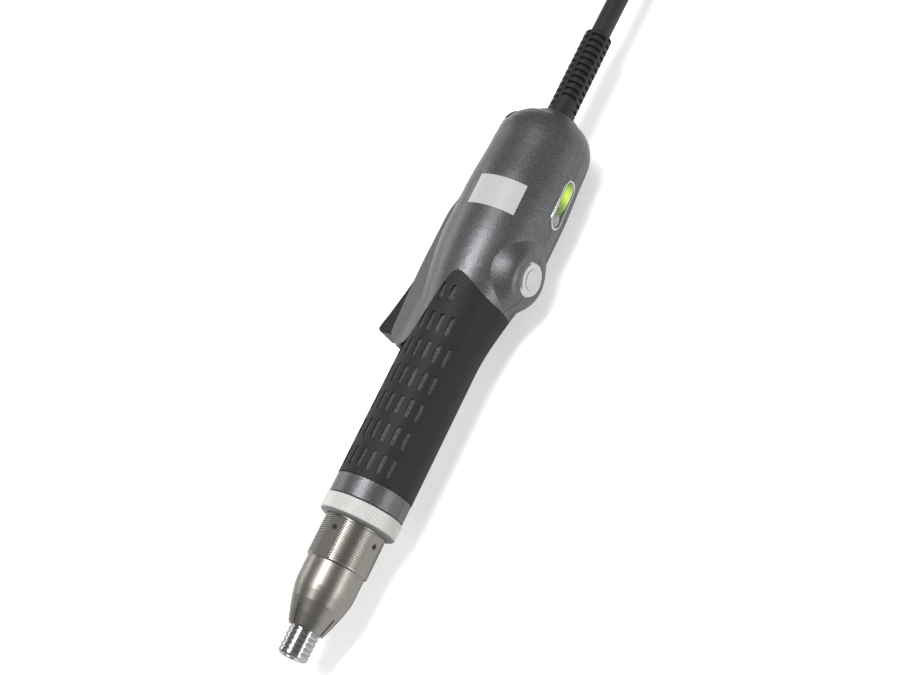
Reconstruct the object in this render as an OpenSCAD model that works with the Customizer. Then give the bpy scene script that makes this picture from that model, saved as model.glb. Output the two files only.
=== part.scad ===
// Corded electric torque screwdriver with a start lever, lying on its side.
// X runs along the spindle from the bit mouth (x = 0) to the cord. The two halves of the
// housing meet at z = 0, with the lever on the +Y side and the reverse button on the -Y side.

/* [Housing] */
// Radius of the round housing behind the grip
body_r = 25.5; // [24.8:0.1:26.5]
// Radius over the rubber grip
grip_r = 18.2; // [18:0.1:19]
// Radius of the grey collar in front of the grip
collar_r = 18; // [17.8:0.1:18.4]
// Length of the grey collar
collar_len = 9.8; // [8:0.1:11]
// Thickness of the moulded wall
wall = 2; // [1.8:0.1:2.2]
// Thickness of the rubber moulded over the grip
rubber_t = 1.8; // [1.5:0.1:2]
// Length over which the grip widens into the housing
flare_len = 62; // [58:1:66]
// Radius where the rear shoulder starts to round over
shoulder_r = 24; // [23:0.1:24.8]
// Length of the rounded rear shoulder
shoulder_len = 16.5; // [14:0.5:18]
// Radius of the flat rear face and of the neck round the boot
neck_r = 12; // [11:0.1:13]
// Length of the neck that stands behind the housing
neck_len = 2.6; // [2:0.1:4]
// Radius of the posts that take the housing screws
post_r = 3; // [2.7:0.1:3.2]

/* [Grip pattern] */
// Rows of lengthwise pockets in the rubber
pocket_rows = 7; // [5:1:7]
// Distance between rows
pocket_pitch = 14; // [12:0.5:14.5]
// Length of a pocket
pocket_len = 9.3; // [7:0.1:10]
// Width of a pocket
pocket_w = 2.3; // [1.6:0.1:2.6]
// Depth of a pocket
pocket_depth = 0.8; // [0.4:0.1:1]

/* [Nose] */
// Distance from the bit mouth to the front of the nose
nose_x = 13.5; // [13:0.1:14.5]
// Radius of the plain land that sleeves and holders clamp on
land_r = 13.7; // [13.4:0.1:14]
// Length of the plain land
land_len = 10; // [9:0.5:10.5]
// Radius over the grooved part of the nose
groove_r = 14.6; // [14.4:0.1:14.9]
// Distance between the ring grooves
groove_pitch = 1; // [0.8:0.1:1.4]
// Radius over the torque ring
ring_r = 18.45; // [18:0.05:18.8]
// Width of the torque ring
ring_w = 8.9; // [8:0.1:9.5]
// How far the torque ring moves the spring cup
seat_travel = 3; // [2:0.1:3]

/* [Chuck] */
// Width across flats of the hex socket
hex_af = 6.45; // [6.4:0.01:6.6]
// Radius of the round mouth in front of the hex
mouth_r = 3.75; // [3.75:0.01:3.9]
// Length of the round mouth
mouth_len = 6; // [5:0.5:7]
// Depth of the whole bit socket
socket_len = 24; // [20:0.5:26]
// Radius of the spindle in its bearings
spindle_r = 5; // [4.9:0.05:5.1]
// Radius of the chuck collar
chuck_r = 7; // [6.9:0.05:7.1]
// How far the chuck collar slides back to release a bit
chuck_travel = 3; // [2:0.1:3]

/* [Drive] */
// Gear module
gear_m = 0.4; // [0.38:0.01:0.4]
// Teeth on the sun gear and on each planet
sun_teeth = 18; // [18]
// Width of the gears
gear_w = 8; // [7:0.5:8.5]
// Radius of the motor shaft
shaft_r = 1.5; // [1.4:0.05:1.6]
// Length of the motor can
motor_len = 54; // [50:1:56]
// Radius of the rotor magnet
rotor_r = 8; // [7:0.1:8.3]

/* [Lever and button] */
// Half width of the start lever
lever_half_w = 5.5; // [5:0.1:5.8]
// Turn of the lever when it is pressed, in degrees
lever_turn = 4.5; // [3:0.1:5]
// Radius of the lever pin
pin_r = 1.5; // [1.3:0.05:1.7]
// Radius of the reverse button
button_r = 5; // [4.6:0.1:5.2]
// Radius of the bright bezel round the button
bezel_r = 8.5; // [8.2:0.1:9]
// Travel of the reverse button
button_travel = 1.5; // [1:0.1:1.5]

/* [Window and cord] */
// Length of the lamp window
window_len = 25; // [22:0.5:26]
// Width of the lamp window
window_w = 8; // [7:0.1:8.5]
// Radius of the cord
cord_r = 5; // [4.6:0.1:5.2]
// Radius of the slotted boot
boot_r = 7; // [6.9:0.05:7.4]
// Length of the boot behind the neck
boot_len = 51.5; // [46:0.5:56]
// Radius of the inner turns where the hank of cord folds
fold_r = 30; // [28:1:34]
// Length of the straight runs of the hank
hank_run = 40; // [34:1:46]
// Radius of the hanging ring
hang_r = 8; // [7:0.1:9]

/* [Hidden] */
$fn = 48;

// Clearances: parts that turn, parts that slide, and parts that only lie near each other
run_gap = 0.05;
slide_gap = 0.1;
loose_gap = 0.3;

// Stations along the axis
ring_x = nose_x + 50;
collar_x = ring_x + ring_w + 0.2;
grip_x = collar_x + collar_len;
flare_x = 150;
body_x = flare_x + flare_len;
shoulder_x = 264;
rear_x = shoulder_x + shoulder_len;
neck_end = rear_x + neck_len;
boot_end = neck_end + boot_len;
clutch_x = ring_x + 12.7;
clutch_plate_t = 3;
clutch_ball_r = 1.5;
clutch_ball_x = clutch_x + clutch_plate_t + 0.9;
carrier_x = clutch_ball_x + clutch_ball_r + 0.1;
carrier_t = 5.5;
spindle_end = carrier_x + 5;
gear_x = carrier_x + carrier_t + 1.5;
wall_x = gear_x + gear_w + 2;
motor_x = wall_x + 2.5;
motor_end = motor_x + motor_len;

// Radii inside the housing
bay_r = grip_r - rubber_t - wall;
case_r = bay_r - 0.4;
rubber_face_x = 186;

function smooth(t) = t <= 0 ? 0 : t >= 1 ? 1 : t * t * (3 - 2 * t);

// Outer radius of the housing at a station behind the collar
function outer_r(x) =
    x < shoulder_x
        ? grip_r + (body_r - grip_r) * smooth((x - flare_x) / flare_len)
            - (body_r - shoulder_r) * smooth((x - body_x - 20) / (shoulder_x - body_x - 20))
        : neck_r + (shoulder_r - neck_r) * sqrt(max(0, 1 - pow((x - shoulder_x) / shoulder_len, 2)));

// Radius of the cavity: the wall is thinner by the rubber that lies over it in front
function cavity_r(x) =
    outer_r(x) - wall - rubber_t * (1 - smooth((x - rubber_face_x - 2) / 12));

function steps(from, to, n) = [for (i = [0:n]) from + (to - from) * i / n];
shoulder_stations = [for (a = [12:12:90]) shoulder_x + shoulder_len * sin(a)];
body_stations = concat([grip_x], steps(flare_x, body_x, 14), steps(body_x + 20, shoulder_x, 4),
                       shoulder_stations);

// Solids on the spindle axis
module on_x(x = 0) { translate([x, 0, 0]) rotate([0, 90, 0]) children(); }
module rod(x0, x1, r) { on_x(x0) cylinder(h = x1 - x0, r = r); }
module tube(x0, x1, ro, ri) {
    difference() {
        rod(x0, x1, ro);
        rod(x0 - 1, x1 + 1, ri);
    }
}
// A solid of revolution about X from [radius, station] points
module turned(points) { on_x() rotate_extrude() polygon(points); }
// A cylinder along Y from y0 to y1
module post_y(x, z, y0, y1, r) {
    translate([x, y0, z]) rotate([-90, 0, 0]) cylinder(h = y1 - y0, r = r);
}
module block(from, to) { translate(from) cube(to - from); }
module around_axis(n, start = 0) {
    for (i = [0:n - 1]) rotate([start + 360 * i / n, 0, 0]) children();
}
// The half of a shape on one side of the parting plane: side is 1 for front, -1 for back
module half(side) {
    intersection() {
        children();
        translate([-50, -80, side > 0 ? 0 : -80]) cube([500, 160, 80]);
    }
}
// A flat outline with round ends, along its X axis
module stadium(len, w) {
    for (s = [-1, 1]) translate([s * (len - w) / 2, 0]) circle(d = w, $fn = 24);
    square([len - w, w], center = true);
}

// One closed skin round a list of rings of points, with flat ends
module swept(rings) {
    n = len(rings[0]);
    m = len(rings);
    polyhedron(
        points = [for (r = rings) each r],
        faces = concat(
            [[for (j = [0:n - 1]) j]],
            [for (i = [0:m - 2], j = [0:n - 1])
                [i * n + j, (i + 1) * n + j, (i + 1) * n + (j + 1) % n, i * n + (j + 1) % n]],
            [[for (j = [n - 1:-1:0]) (m - 1) * n + j]]
        ));
}
// A compression spring that stands on z = 0
module coil_spring(length, mean_r, wire_r, turns, per_turn = 14, sides = 6) {
    count = turns * per_turn;
    rise = (length - 2 * wire_r) / count;
    swept([for (i = [0:count])
        [for (j = [0:sides - 1])
            let (a = 360 * i / per_turn, b = -360 * j / sides, r = mean_r + wire_r * cos(b))
            [r * cos(a), r * sin(a), wire_r + rise * i + wire_r * sin(b)]]]);
}

// ---------- Housing ----------

// The round body without its wall removed
module body_solid() {
    turned(concat([[0, collar_x], [collar_r - 0.5, collar_x], [collar_r, collar_x + 0.5],
                   [collar_r, grip_x - 0.4], [collar_r - 0.4, grip_x]],
                  [for (x = body_stations) [outer_r(x), x]],
                  [[neck_r, neck_end - 0.6], [neck_r - 0.6, neck_end], [0, neck_end]]));
}
module body_cavity() {
    front = collar_x + wall;
    turned(concat([[0, front], [bay_r, front]],
                  [for (x = body_stations) if (x < shoulder_x + shoulder_len * 0.9) [cavity_r(x), x]],
                  [[neck_r - wall, rear_x - wall - 0.6], [0, rear_x - wall - 0.6]]));
}

// Lever guard: its outline seen along Z, and its section seen along X
guard_half_w = 9.3;
guard_top = body_r + 3.5;
channel_half_w = lever_half_w + 0.5;
channel_floor = body_r - 8;
pivot_x = 210;
pivot_y = body_r - 4;
cover_x = 203;
function guard_outline() = [
    [146.5, 10], [146.5, 16.6], [148.4, 19.6], [151, 23.2], [154, 25.2], [158, guard_top - 3.3],
    [168, guard_top - 2.7], [182, guard_top - 1.6], [196, guard_top - 0.6], [206, guard_top],
    [214, guard_top - 0.3], [221, guard_top - 1.5], [227, guard_top - 3.2],
    [234, guard_top - 5], [242, guard_top - 9], [242, 10]];
module guard_section() {
    r = 2.6;
    polygon(concat(
        [for (a = [0:15:75]) [guard_top - r + r * sin(90 - a), guard_half_w - r + r * sin(a)]],
        [[20, guard_half_w + 1], [15, 13.4], [9, 15.5]],
        [[9, -15.5], [15, -13.4], [20, -guard_half_w - 1]],
        [for (a = [75:-15:0]) [guard_top - r + r * sin(90 - a), r - guard_half_w - r * sin(a)]]));
}
module guard_solid() {
    intersection() {
        translate([0, 0, -20]) linear_extrude(40) polygon(guard_outline());
        translate([140, 0, 0]) rotate([90, 0, 90]) linear_extrude(110) guard_section();
    }
}
module channel_cut() {
    block([151, channel_floor, -channel_half_w], [cover_x, 60, channel_half_w]);
    block([cover_x - 1, channel_floor, -channel_half_w], [pivot_x + 5, pivot_y + 4.6, channel_half_w]);
}
// Floor, end and side walls of the lever channel, inside the cavity
module channel_walls() {
    intersection() {
        block([148, channel_floor - wall, -channel_half_w - wall],
              [pivot_x + 5 + wall, 40, channel_half_w + wall]);
        union() {
            body_solid();
            guard_solid();
        }
    }
}

button_x = 198.3;
button_face = -body_r - 1.4;
window_x = 238.9;
// Screw posts: station and side of each, clear of the motor and of the lever channel
post_places = [[192, -9.5], [192, 9], [226, 12.5], [261, -13], [261, 13]];
screw_r = 1.5;
screw_head_r = 2.8;
function post_top(p) = sqrt(pow(outer_r(p[0]), 2) - p[1] * p[1]) - 0.6;
screw_seat = 9;

module posts() {
    intersection() {
        for (p = post_places) translate([p[0], p[1], -30]) cylinder(h = 60, r = post_r + 0.9);
        body_solid();
    }
}
module ribs() {
    for (x = [grip_x + 4, 100, motor_x + 10, motor_x + motor_len - 10])
        tube(x, x + wall, bay_r + 0.5, case_r);
}
module button_boss() {
    intersection() {
        post_y(button_x, 0, button_face, -body_r + 10, bezel_r + 1.7);
        block([button_x - 20, button_face, -20], [button_x + 20, 0, 20]);
    }
}
module housing(side) {
    difference() {
        half(side) difference() {
            union() {
                difference() {
                    union() {
                        body_solid();
                        guard_solid();
                        button_boss();
                    }
                    body_cavity();
                }
                channel_walls();
                posts();
                ribs();
            }
            channel_cut();
            grip_zone(loose_gap / 2);
            rod(collar_x - 1, collar_x + wall + 1, nose_sleeve_r + slide_gap);
            rod(rear_x - wall - 2, neck_end + 1, boot_root_r);
            post_y(button_x, 0, -40, -20, bezel_skirt_r);
            translate([window_x, -40, 0]) rotate([-90, 0, 0])
                linear_extrude(24) stadium(window_len, window_w);
            translate([pivot_x, pivot_y, -8.2]) cylinder(h = 16.4, r = pin_r);
            post_y(plunger_x, 0, 10, channel_floor + 1, plunger_r + loose_gap);
            plate_recess();
            eyelet_shape();
        }
        for (p = post_places) translate([p[0], p[1], 0]) {
            translate([0, 0, -40]) cylinder(h = 40 - screw_seat, r = screw_head_r + slide_gap);
            translate([0, 0, -20]) cylinder(h = 20 + 8, r = screw_r);
        }
    }
}
module housing_front() { color([0.27, 0.28, 0.29]) housing(1); }
module housing_back() { color([0.27, 0.28, 0.29]) housing(-1); }
module housing_screws() {
    color("dimgray") for (p = post_places) translate([p[0], p[1], 0]) difference() {
        union() {
            translate([0, 0, -screw_seat]) cylinder(h = screw_seat + 7.6, r = screw_r);
            translate([0, 0, -screw_seat - 2.2]) cylinder(h = 2.2, r = screw_head_r);
        }
        translate([0, 0, -screw_seat - 2.3]) cylinder(h = 1.4, r = 1.2, $fn = 6);
    }
}

// ---------- Rubber grip ----------

arch_peak_y = -4;
arch_guard_y = 14;
// Station of the rear edge of the rubber, by its height across the shell
function arch_x(y) =
    y < arch_peak_y
        ? rubber_face_x - 7.4 * smooth((arch_peak_y - y) / (grip_r + 4 + arch_peak_y))
        : rubber_face_x - (rubber_face_x - 147) * smooth((y - arch_peak_y) / (arch_guard_y - arch_peak_y));
module grip_zone(gap = 0) {
    intersection() {
        turned(concat([for (x = concat([grip_x], steps(flare_x, 190, 10))) [outer_r(x) - rubber_t, x]],
                      [for (x = concat(steps(190, flare_x, 10), [grip_x])) [outer_r(x) + 12, x]]));
        translate([0, 0, -40]) linear_extrude(80) polygon(concat(
            [for (y = [-40:2:arch_guard_y]) [arch_x(y) + gap, y]],
            [[146.5, 16], [146.5, 40], [grip_x, 40], [grip_x, -40]]));
    }
}
// Pockets of one half, by row and by angle from the button side
function pocket_angles(row) = row == pocket_rows - 1 ? [75, 90, 105]
                            : row == pocket_rows - 2 ? [55, 75, 90, 105, 120]
                            : [52, 72, 88, 104, 120, 136];
module grip(side) {
    half(side) difference() {
        intersection() {
            turned(concat([for (x = concat([grip_x], steps(flare_x, 190, 10))) [outer_r(x) - rubber_t, x]],
                          [for (x = concat(steps(190, flare_x, 10), [grip_x])) [outer_r(x), x]]));
            grip_zone();
        }
        for (row = [0:pocket_rows - 1], a = pocket_angles(row))
            translate([grip_x + 8 + row * pocket_pitch, 0, 0])
                rotate([side * (-90 + a), 0, 0]) rotate([side > 0 ? 0 : 180, 0, 0])
                    translate([0, 0, outer_r(grip_x + 8 + row * pocket_pitch) - pocket_depth])
                        linear_extrude(4) stadium(pocket_len, pocket_w);
    }
}
module grip_front() { color([0.1, 0.1, 0.11]) grip(1); }
module grip_back() { color([0.1, 0.1, 0.11]) grip(-1); }

// ---------- Plate, lamps and button ----------

plate_x = 227.4;
plate_len = 16;
plate_w = 24;
plate_t = 0.4;
module plate_outline(grow = 0) {
    translate([plate_x, 0, 0]) square([plate_len + grow, plate_w + grow], center = true);
}
plate_turn = 12;
module plate_band(ro, ri) {
    rotate([plate_turn, 0, 0]) intersection() {
        tube(plate_x - plate_len, plate_x + plate_len, ro, ri);
        linear_extrude(60) plate_outline();
    }
}
module plate_recess() { plate_band(body_r + 2, body_r - plate_t); }
module rating_plate() { color("gainsboro") plate_band(body_r + 0.05, body_r - plate_t); }

lens_depth = wall + 2.4;
module indicator_lens() {
    color([0.8, 0.88, 0.8, 0.6]) difference() {
        intersection() {
            translate([window_x, -40, 0]) rotate([-90, 0, 0])
                linear_extrude(40) stadium(window_len, window_w);
            tube(window_x - 20, window_x + 20, outer_r(window_x) + 0.2, body_r - lens_depth);
        }
        translate([window_x, -body_r + 1.5, 0]) rotate([-90, 0, 0])
            linear_extrude(20) stadium(window_len - 2.4, window_w - 2.4);
    }
}
board_y = 7.5 - body_r;
board_t = 1.6;
lamp_top = -body_r + 2.2;
module dome_y(x, r, y0, y1) {
    post_y(x, 0, y1 + r, y0, r);
    intersection() {
        translate([x, y1 + r, 0]) sphere(r = r);
        block([x - r, y1 - 1, -r], [x + r, y1 + r, r]);
    }
}
module green_led() {
    color("limegreen") for (i = [0, 1]) dome_y(window_x + 1.2 + 5.4 * i, 2.5, board_y - board_t, lamp_top);
}
module grey_led() { color("gray") dome_y(window_x - 6.6, 2.5, board_y - board_t, lamp_top); }
module led_board() {
    color("darkgreen") block([button_x - 7, board_y - board_t, -5.5], [window_x + 12, board_y, 5.5]);
}
bezel_skirt_r = bezel_r - 1.6;
cap_flange_r = button_r + 0.9;
cap_seat = button_face + 2.6;
module button_bezel() {
    color("silver") difference() {
        union() {
            translate([button_x, button_face - 1, 0]) rotate([-90, 0, 0])
                cylinder(h = 1, r1 = bezel_r - 0.8, r2 = bezel_r);
            post_y(button_x, 0, button_face - 0.1, button_face + 5.4, bezel_skirt_r);
        }
        post_y(button_x, 0, button_face - 3, button_face + 9, button_r + slide_gap);
        post_y(button_x, 0, cap_seat, button_face + 9, cap_flange_r + slide_gap);
    }
}
module reverse_button() {
    color("silver") difference() {
        union() {
            post_y(button_x, 0, button_face - 1.2, cap_seat + 0.5, button_r);
            intersection() {
                translate([button_x, button_face - 1.9 + 18, 0]) sphere(r = 18, $fn = 96);
                post_y(button_x, 0, button_face - 3, button_face, button_r);
            }
            post_y(button_x, 0, cap_seat + 0.02, cap_seat + 0.9, cap_flange_r);
        }
        post_y(button_x, 0, cap_seat + 0.5, cap_seat + 2, 3);
    }
}
tact_top = board_y - board_t - 2.2;
module tact_switch() {
    color("dimgray") {
        block([button_x - 3, tact_top + 0.4, -3], [button_x + 3, board_y - board_t, 3]);
        post_y(button_x, 0, tact_top, tact_top + 0.4, 1.7);
    }
}
module button_spring() {
    color("silver") translate([button_x, cap_seat + 0.95, 0]) rotate([-90, 0, 0])
        coil_spring(board_y - board_t - cap_seat - 1, button_r - 0.1, 0.3, 3);
}

// ---------- Nose and torque ring ----------

nose_sleeve_r = 12.5;
cup_r = 11.4;
cup_bore_r = cup_r + slide_gap;
bearing_front_r = 9.5;
bearing_front_x = nose_x + 13.5;
bearing_rear_x = bearing_front_x + 13;
bearing_w = 7;
land_x = nose_x + 19;
thread_x = land_x + land_len + 1;
sleeve_end = ring_x + 18.5;
flat_h = groove_r * cos(19.5);

function groove_points() = [
    for (i = [0:floor((ring_x - thread_x - 2) / groove_pitch) - 1])
        let (x = thread_x + 1 + groove_pitch * i)
            each [[groove_r, x], [groove_r, x + groove_pitch * 0.5],
                  [groove_r - 0.35, x + groove_pitch * 0.65], [groove_r - 0.35, x + groove_pitch * 0.85]]];
module nose_housing() {
    color([0.55, 0.54, 0.52]) difference() {
        turned(concat(
            [[chuck_r + 0.4, nose_x + 0.4], [chuck_r + 0.9, nose_x], [chuck_r + 1, nose_x],
             [chuck_r + 1.6, nose_x + 0.8], [10.6, nose_x + 6.5], [12.3, nose_x + 12],
             [13.3, nose_x + 16.5], [land_r, land_x], [land_r, land_x + land_len],
             [land_r, thread_x], [groove_r, thread_x + 0.6]],
            groove_points(),
            [[groove_r, ring_x - 0.8], [groove_r, ring_x], [nose_sleeve_r, ring_x],
             [nose_sleeve_r, sleeve_end], [cup_bore_r, sleeve_end],
             [cup_bore_r, bearing_rear_x], [bearing_front_r, bearing_rear_x],
             [bearing_front_r, bearing_front_x], [chuck_r + 0.6, bearing_front_x],
             [chuck_r + 0.6, nose_x + 2], [chuck_r + 0.4, nose_x + 1.6]]));
        // Four flats, with a set screw in each
        around_axis(4) block([thread_x + 0.3, -20, flat_h], [ring_x - 0.4, 20, 30]);
        around_axis(4) translate([screw_x, 0, cup_bore_r - 1]) cylinder(h = 9, r = 1.5);
        // Four slots that run out on the cone
        around_axis(4) translate([nose_x - 0.2, 0, chuck_r + 0.8]) rotate([0, -19, 0])
            block([-1, -1.3, 0], [9.6, 1.3, 6]);
        // Two lengthwise slots for the pins of the spring cup
        for (s = [0, 180]) rotate([s, 0, 0]) {
            block([ring_x + 1.3, -1.3, 10], [ring_x + ring_w - 1.2, 1.3, 20]);
        }
    }
}
screw_x = ring_x - 5.6;
module nose_screws() {
    color([0.35, 0.34, 0.33]) around_axis(4) translate([screw_x, 0, 0]) difference() {
        translate([0, 0, cup_bore_r + 0.3]) cylinder(h = flat_h - cup_bore_r - 0.6, r = 1.5);
        translate([0, 0, flat_h - 1.1]) cylinder(h = 2, r = 0.85, $fn = 6);
    }
}
module nose_seal() {
    color("wheat") tube(bearing_front_x - 1.6, bearing_front_x, chuck_r + 0.6, spindle_r + run_gap);
}
cup_pin_x = ring_x + 3;
module torque_ring() {
    color("whitesmoke") turned([
        [nose_sleeve_r + run_gap, ring_x + 0.1], [ring_r - 2.2, ring_x + 0.1],
        [ring_r - 0.6, ring_x + 0.9], [ring_r, ring_x + 1.6], [ring_r, ring_x + ring_w - 0.6],
        [ring_r - 0.5, ring_x + ring_w], [nose_sleeve_r + run_gap, ring_x + ring_w],
        [nose_sleeve_r + run_gap, ring_x + ring_w - 1.1], [nose_sleeve_r + 2.6, ring_x + ring_w - 1.1],
        [nose_sleeve_r + 2.6, ring_x + 1.2], [nose_sleeve_r + run_gap, ring_x + 1.2]]);
}
cup_x = bearing_rear_x + bearing_w + 5;
module spring_cup() {
    color("dimgray") {
        turned([[spindle_r + loose_gap, cup_x], [cup_r, cup_x], [cup_r, cup_pin_x + 2.2],
                [cup_r - 0.9, cup_pin_x + 2.2], [cup_r - 0.9, cup_x + 2], [spindle_r + loose_gap, cup_x + 2]]);
        for (s = [0, 180]) rotate([s, 0, 0]) translate([cup_pin_x, 0, cup_r - 0.5])
            cylinder(h = 3.2, r = 1.1);
    }
}
module clutch_spring() {
    color("silver") on_x(cup_x + 2.1)
        coil_spring(clutch_x - cup_x - 2.2, 8, 1, 6, 16, 6);
}
module clutch_plate() {
    color("slategray") difference() {
        rod(clutch_x, clutch_x + clutch_plate_t, cup_bore_r - 0.4);
        rod(clutch_x - 1, clutch_x + clutch_plate_t + 1, spindle_r);
        around_axis(3) translate([clutch_ball_x, 0, 8]) sphere(r = clutch_ball_r);
    }
}
module clutch_balls() {
    color("silver") around_axis(3)
        translate([clutch_ball_x, 0, 8]) sphere(r = clutch_ball_r);
}

// ---------- Spindle and chuck ----------

chuck_front = 0.6;
clip_x = 1.2;
clip_w = 0.8;
ball_x = 9;
ball_r = 1.25;
chuck_bore_r = spindle_r + 0.3 + slide_gap;
chuck_step_x = 12;
flange_x = nose_x + 7.5;
module spindle() {
    color("silver") difference() {
        turned([[0, 0], [spindle_r + 0.1, 0], [spindle_r + 0.3, 0.3], [spindle_r + 0.3, clip_x],
                [spindle_r - 0.2, clip_x], [spindle_r - 0.2, clip_x + clip_w],
                [spindle_r + 0.3, clip_x + clip_w], [spindle_r + 0.3, flange_x],
                [spindle_r + 1.3, flange_x], [spindle_r + 1.3, flange_x + 2], [spindle_r, flange_x + 2],
                [spindle_r, carrier_x], [3, carrier_x], [3, spindle_end], [0, spindle_end]]);
        rod(-1, mouth_len, mouth_r);
        on_x(mouth_len - 0.1) linear_extrude(socket_len - mouth_len + 0.1)
            circle(r = hex_af / 2 / cos(30), $fn = 6);
        for (s = [0, 180]) rotate([s, 0, 0]) translate([ball_x, 0, hex_af / 2 - 0.5])
            cylinder(h = 4, r = ball_r);
    }
}
module chuck_balls() {
    color("gainsboro") for (s = [0, 180]) rotate([s, 0, 0])
        translate([ball_x, 0, spindle_r + 0.3 - ball_r]) sphere(r = ball_r);
}
module chuck_collar() {
    color("silver") difference() {
        turned(concat(
            [[chuck_r - 0.9, chuck_front], [chuck_r - 0.4, chuck_front + 0.4]],
            [for (i = [0:4]) let (x = chuck_front + 1 + 2.3 * i)
                each [[chuck_r, x], [chuck_r, x + 1.3], [chuck_r - 0.45, x + 1.6], [chuck_r - 0.45, x + 2]]],
            [[chuck_r, nose_x - 0.4], [chuck_r, flange_x - 2],
             [spindle_r + 1.5, flange_x - 2], [spindle_r + 1.5, chuck_step_x],
             [chuck_bore_r, chuck_step_x], [chuck_bore_r, ball_x - 2],
             [spindle_r + 1.2, ball_x - 2.4], [spindle_r + 1.2, ball_x - 4.4],
             [chuck_bore_r, ball_x - 4.8], [chuck_bore_r, clip_x + clip_w + 0.05],
             [spindle_r + 1.1, clip_x + clip_w + 0.05], [spindle_r + 1.1, chuck_front]]));
    }
}
module chuck_clip() {
    color("dimgray") difference() {
        tube(clip_x + 0.02, clip_x + clip_w - 0.02, spindle_r + 0.9, spindle_r - 0.2);
        block([0, -1.2, 0], [4, 1.2, 10]);
    }
}
module chuck_spring() {
    color("silver") on_x(chuck_step_x + 0.1)
        coil_spring(flange_x - chuck_step_x - 0.2, spindle_r + 0.9, 0.35, 4);
}
module spindle_bearings() {
    color("lightsteelblue") {
        tube(bearing_front_x, bearing_front_x + bearing_w, bearing_front_r, spindle_r + 0.01);
        tube(bearing_rear_x, bearing_rear_x + bearing_w, cup_bore_r, spindle_r + 0.01);
    }
}

// ---------- Gearbox ----------

ring_teeth = 3 * sun_teeth;
center_r = gear_m * sun_teeth;
planet_pin_r = 1.25;

// Involute flank of a gear: a point at radius r, turned from the tooth's middle
function flank_angle(teeth, r) =
    let (pitch = gear_m * teeth / 2, base = pitch * cos(20), a = acos(min(1, base / max(r, base))))
    90 / teeth + (tan(20) - 20 * PI / 180) * 180 / PI - (tan(a) * 180 / PI - a);
module gear_outline(teeth, root_r, tip_r, thin) {
    rs = [root_r, (root_r + tip_r) / 2, tip_r];
    polygon([for (t = [0:teeth - 1])
        each concat(
            [for (r = rs) let (a = 360 * t / teeth - flank_angle(teeth, r) + thin / r * 57.3)
                [r * cos(a), r * sin(a)]],
            [for (r = [rs[2], rs[1], rs[0]]) let (a = 360 * t / teeth + flank_angle(teeth, r) - thin / r * 57.3)
                [r * cos(a), r * sin(a)]])]);
}
backlash = 0.06;
module outer_gear(x0, x1, teeth, turn, bore_r) {
    on_x(x0) rotate([0, 0, turn]) difference() {
        linear_extrude(x1 - x0)
            gear_outline(teeth, gear_m * (teeth / 2 - 1.25), gear_m * (teeth / 2 + 1), backlash);
        translate([0, 0, -1]) cylinder(h = x1 - x0 + 2, r = bore_r);
    }
}
module gear_case() {
    bore = gear_m * (ring_teeth / 2 + 1.25) + 0.3;
    color("slategray") difference() {
        turned([[nose_sleeve_r, collar_x + wall + 0.2], [case_r, collar_x + wall + 0.2],
                [case_r, grip_x + 3.7], [case_r - 0.8, grip_x + 3.7], [case_r - 0.8, grip_x + 6.3],
                [case_r, grip_x + 6.3], [case_r, motor_x], [4, motor_x], [4, wall_x],
                [gear_m * (ring_teeth / 2 - 1), wall_x], [gear_m * (ring_teeth / 2 - 1), gear_x - 0.5],
                [bore, gear_x - 0.5], [bore, sleeve_end], [nose_sleeve_r, sleeve_end]]);
        on_x(gear_x - 1) linear_extrude(gear_w + 1.8)
            gear_outline(ring_teeth, gear_m * (ring_teeth / 2 - 1.3), gear_m * (ring_teeth / 2 + 1.25), -backlash);
    }
}
module planet_carrier() {
    color("silver") difference() {
        rod(carrier_x, carrier_x + carrier_t, gear_m * (ring_teeth / 2 + 1.25) - 0.4);
        rod(carrier_x - 1, spindle_end, 3);
        around_axis(3) translate([carrier_x + 1, 0, center_r]) rotate([0, 90, 0])
            cylinder(h = 20, r = planet_pin_r);
        around_axis(3) translate([clutch_ball_x, 0, 8]) sphere(r = clutch_ball_r + 0.05);
    }
}
module planet_pins() {
    color("gray") around_axis(3) translate([carrier_x + 1, 0, center_r]) rotate([0, 90, 0])
        cylinder(h = gear_x + gear_w + 0.8 - carrier_x - 1, r = planet_pin_r);
}
module planet(i) {
    rotate([120 * i, 0, 0]) translate([0, 0, center_r])
        outer_gear(gear_x, gear_x + gear_w, sun_teeth, 180, planet_pin_r + run_gap);
}
module planet_gear_1() { color("goldenrod") planet(0); }
module planet_gear_2() { color("goldenrod") planet(1); }
module planet_gear_3() { color("goldenrod") planet(2); }
module sun_gear() {
    color("goldenrod") outer_gear(gear_x - 0.6, gear_x + gear_w + 0.6, sun_teeth, 180 / sun_teeth, shaft_r);
}

// ---------- Motor ----------

motor_r = case_r - run_gap;
can_t = 0.9;
shaft_end = motor_end + 8;
brg_w = 3;
brg_r = 4;
module motor_can() {
    color("silver") turned([
        [brg_r, motor_x + 0.1], [motor_r - 0.8, motor_x + 0.1], [motor_r, motor_x + 0.9], [motor_r, motor_end],
        [motor_r - can_t, motor_end], [motor_r - can_t, motor_x + 1.1], [brg_r + 1, motor_x + 1.1],
        [brg_r + 1, motor_x + 0.1 + brg_w], [brg_r, motor_x + 0.1 + brg_w]]);
}
module motor_end_cap() {
    color("black") turned([
        [brg_r, motor_end], [motor_r, motor_end], [motor_r, motor_end + 4], [motor_r - 1, motor_end + 5],
        [brg_r, motor_end + 5]]);
}
module motor_bearings() {
    color("lightsteelblue") {
        tube(motor_x + 0.1, motor_x + 0.1 + brg_w, brg_r, shaft_r + 0.01);
        tube(motor_end + 1.5, motor_end + 1.5 + brg_w, brg_r, shaft_r + 0.01);
    }
}
stator_x = motor_x + 7;
stator_end = motor_end - 5;
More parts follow.
